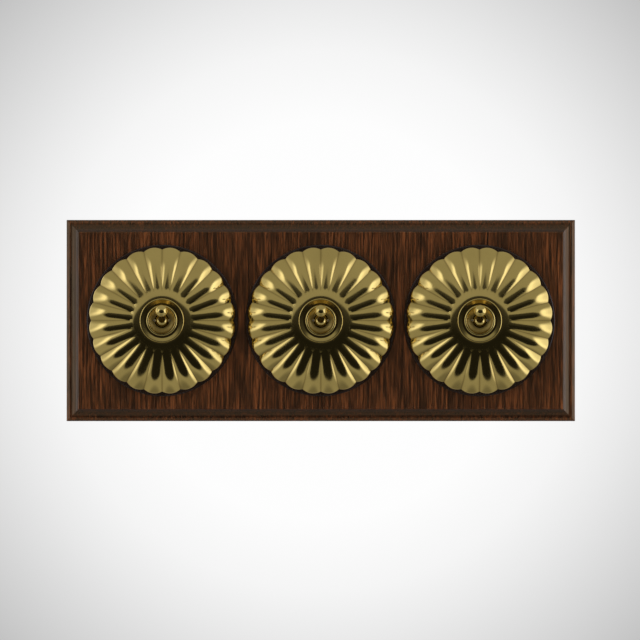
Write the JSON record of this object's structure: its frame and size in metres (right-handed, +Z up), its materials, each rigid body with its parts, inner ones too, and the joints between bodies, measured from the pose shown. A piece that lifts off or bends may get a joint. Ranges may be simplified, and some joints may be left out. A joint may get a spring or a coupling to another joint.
{
  "type": "brass dolly light switch",
  "caption": "Row of dolly light switches with fluted brass domes and ball-ended levers on a coved hardwood plinth, fixed to a wall to switch lighting circuits.",
  "frame": {"origin": "centre of the plinth's back face, on the wall plane", "axes": "+X along the plinth to the right, +Y into the wall, +Z up; the front faces -Y"},
  "size_m": [0.23, 0.0581, 0.091],
  "materials": {
    "wood": "satin",
    "brass": "polished",
    "black_moulding": "gloss",
    "brown_moulding": "matte",
    "steel": "satin",
    "nylon": "matte"
  },
  "bodies": {
    "plinth": {"plinth": "wood", "left_base": "black_moulding", "left_dome_cover": "brass", "left_cover_ring": "brass", "left_nose_bush": "brass", "left_bridge_plate": "steel", "left_mechanism_body": "brown_moulding", "left_pivot_pin": "steel", "left_common_contact": "brass", "left_upper_contact": "brass", "left_lower_contact": "brass", "left_base_screws": "steel", "left_bridge_screws": "steel", "left_terminal_screws": "brass", "centre_base": "black_moulding", "centre_dome_cover": "brass", "centre_cover_ring": "brass", "centre_nose_bush": "brass", "centre_bridge_plate": "steel", "centre_mechanism_body": "brown_moulding", "centre_pivot_pin": "steel", "centre_common_contact": "brass", "centre_upper_contact": "brass", "centre_lower_contact": "brass", "centre_base_screws": "steel", "centre_bridge_screws": "steel", "centre_terminal_screws": "brass", "right_base": "black_moulding", "right_dome_cover": "brass", "right_cover_ring": "brass", "right_nose_bush": "brass", "right_bridge_plate": "steel", "right_mechanism_body": "brown_moulding", "right_pivot_pin": "steel", "right_common_contact": "brass", "right_upper_contact": "brass", "right_lower_contact": "brass", "right_base_screws": "steel", "right_bridge_screws": "steel", "right_terminal_screws": "brass"},
    "left_dolly": {"left_dolly": "brass", "left_plunger_spring": "steel"},
    "left_plunger": {"left_plunger": "nylon"},
    "left_rocker": {"left_rocker": "brass"},
    "centre_dolly": {"centre_dolly": "brass", "centre_plunger_spring": "steel"},
    "centre_plunger": {"centre_plunger": "nylon"},
    "centre_rocker": {"centre_rocker": "brass"},
    "right_dolly": {"right_dolly": "brass", "right_plunger_spring": "steel"},
    "right_plunger": {"right_plunger": "nylon"},
    "right_rocker": {"right_rocker": "brass"}
  },
  "joints": [
    {"name": "left_dolly_pivot", "type": "hinge", "parent": "plinth", "child": "left_dolly", "pos_m": [-0.0715, -0.0421, 0], "axis": [1, 0, 0], "range_deg": [0, 36]},
    {"name": "left_rocker_pivot", "type": "hinge", "parent": "plinth", "child": "left_rocker", "pos_m": [-0.0715, -0.0285, 0], "axis": [1, 0, 0], "range_deg": [-18, 0]},
    {"name": "left_plunger_slide", "type": "slide", "parent": "left_dolly", "child": "left_plunger", "axis": [0, -0.9511, 0.309], "range_m": [0, 0.0006], "stiffness_N_per_m": 300, "springref_m": -0.002, "deforming": ["left_plunger_spring"]},
    {"name": "centre_dolly_pivot", "type": "hinge", "parent": "plinth", "child": "centre_dolly", "pos_m": [0, -0.0421, 0], "axis": [1, 0, 0], "range_deg": [0, 36]},
    {"name": "centre_rocker_pivot", "type": "hinge", "parent": "plinth", "child": "centre_rocker", "pos_m": [0, -0.0285, 0], "axis": [1, 0, 0], "range_deg": [-18, 0]},
    {"name": "centre_plunger_slide", "type": "slide", "parent": "centre_dolly", "child": "centre_plunger", "axis": [0, -0.9511, 0.309], "range_m": [0, 0.0006], "stiffness_N_per_m": 300, "springref_m": -0.002, "deforming": ["centre_plunger_spring"]},
    {"name": "right_dolly_pivot", "type": "hinge", "parent": "plinth", "child": "right_dolly", "pos_m": [0.0715, -0.0421, 0], "axis": [1, 0, 0], "range_deg": [0, 36]},
    {"name": "right_rocker_pivot", "type": "hinge", "parent": "plinth", "child": "right_rocker", "pos_m": [0.0715, -0.0285, 0], "axis": [1, 0, 0], "range_deg": [-18, 0]},
    {"name": "right_plunger_slide", "type": "slide", "parent": "right_dolly", "child": "right_plunger", "axis": [0, -0.9511, 0.309], "range_m": [0, 0.0006], "stiffness_N_per_m": 300, "springref_m": -0.002, "deforming": ["right_plunger_spring"]}
  ],
  "couplings": [
    {"joint": "left_rocker_pivot", "follows": "left_dolly_pivot", "ratio": -0.5},
    {"joint": "centre_rocker_pivot", "follows": "centre_dolly_pivot", "ratio": -0.5},
    {"joint": "right_rocker_pivot", "follows": "right_dolly_pivot", "ratio": -0.5}
  ]
}
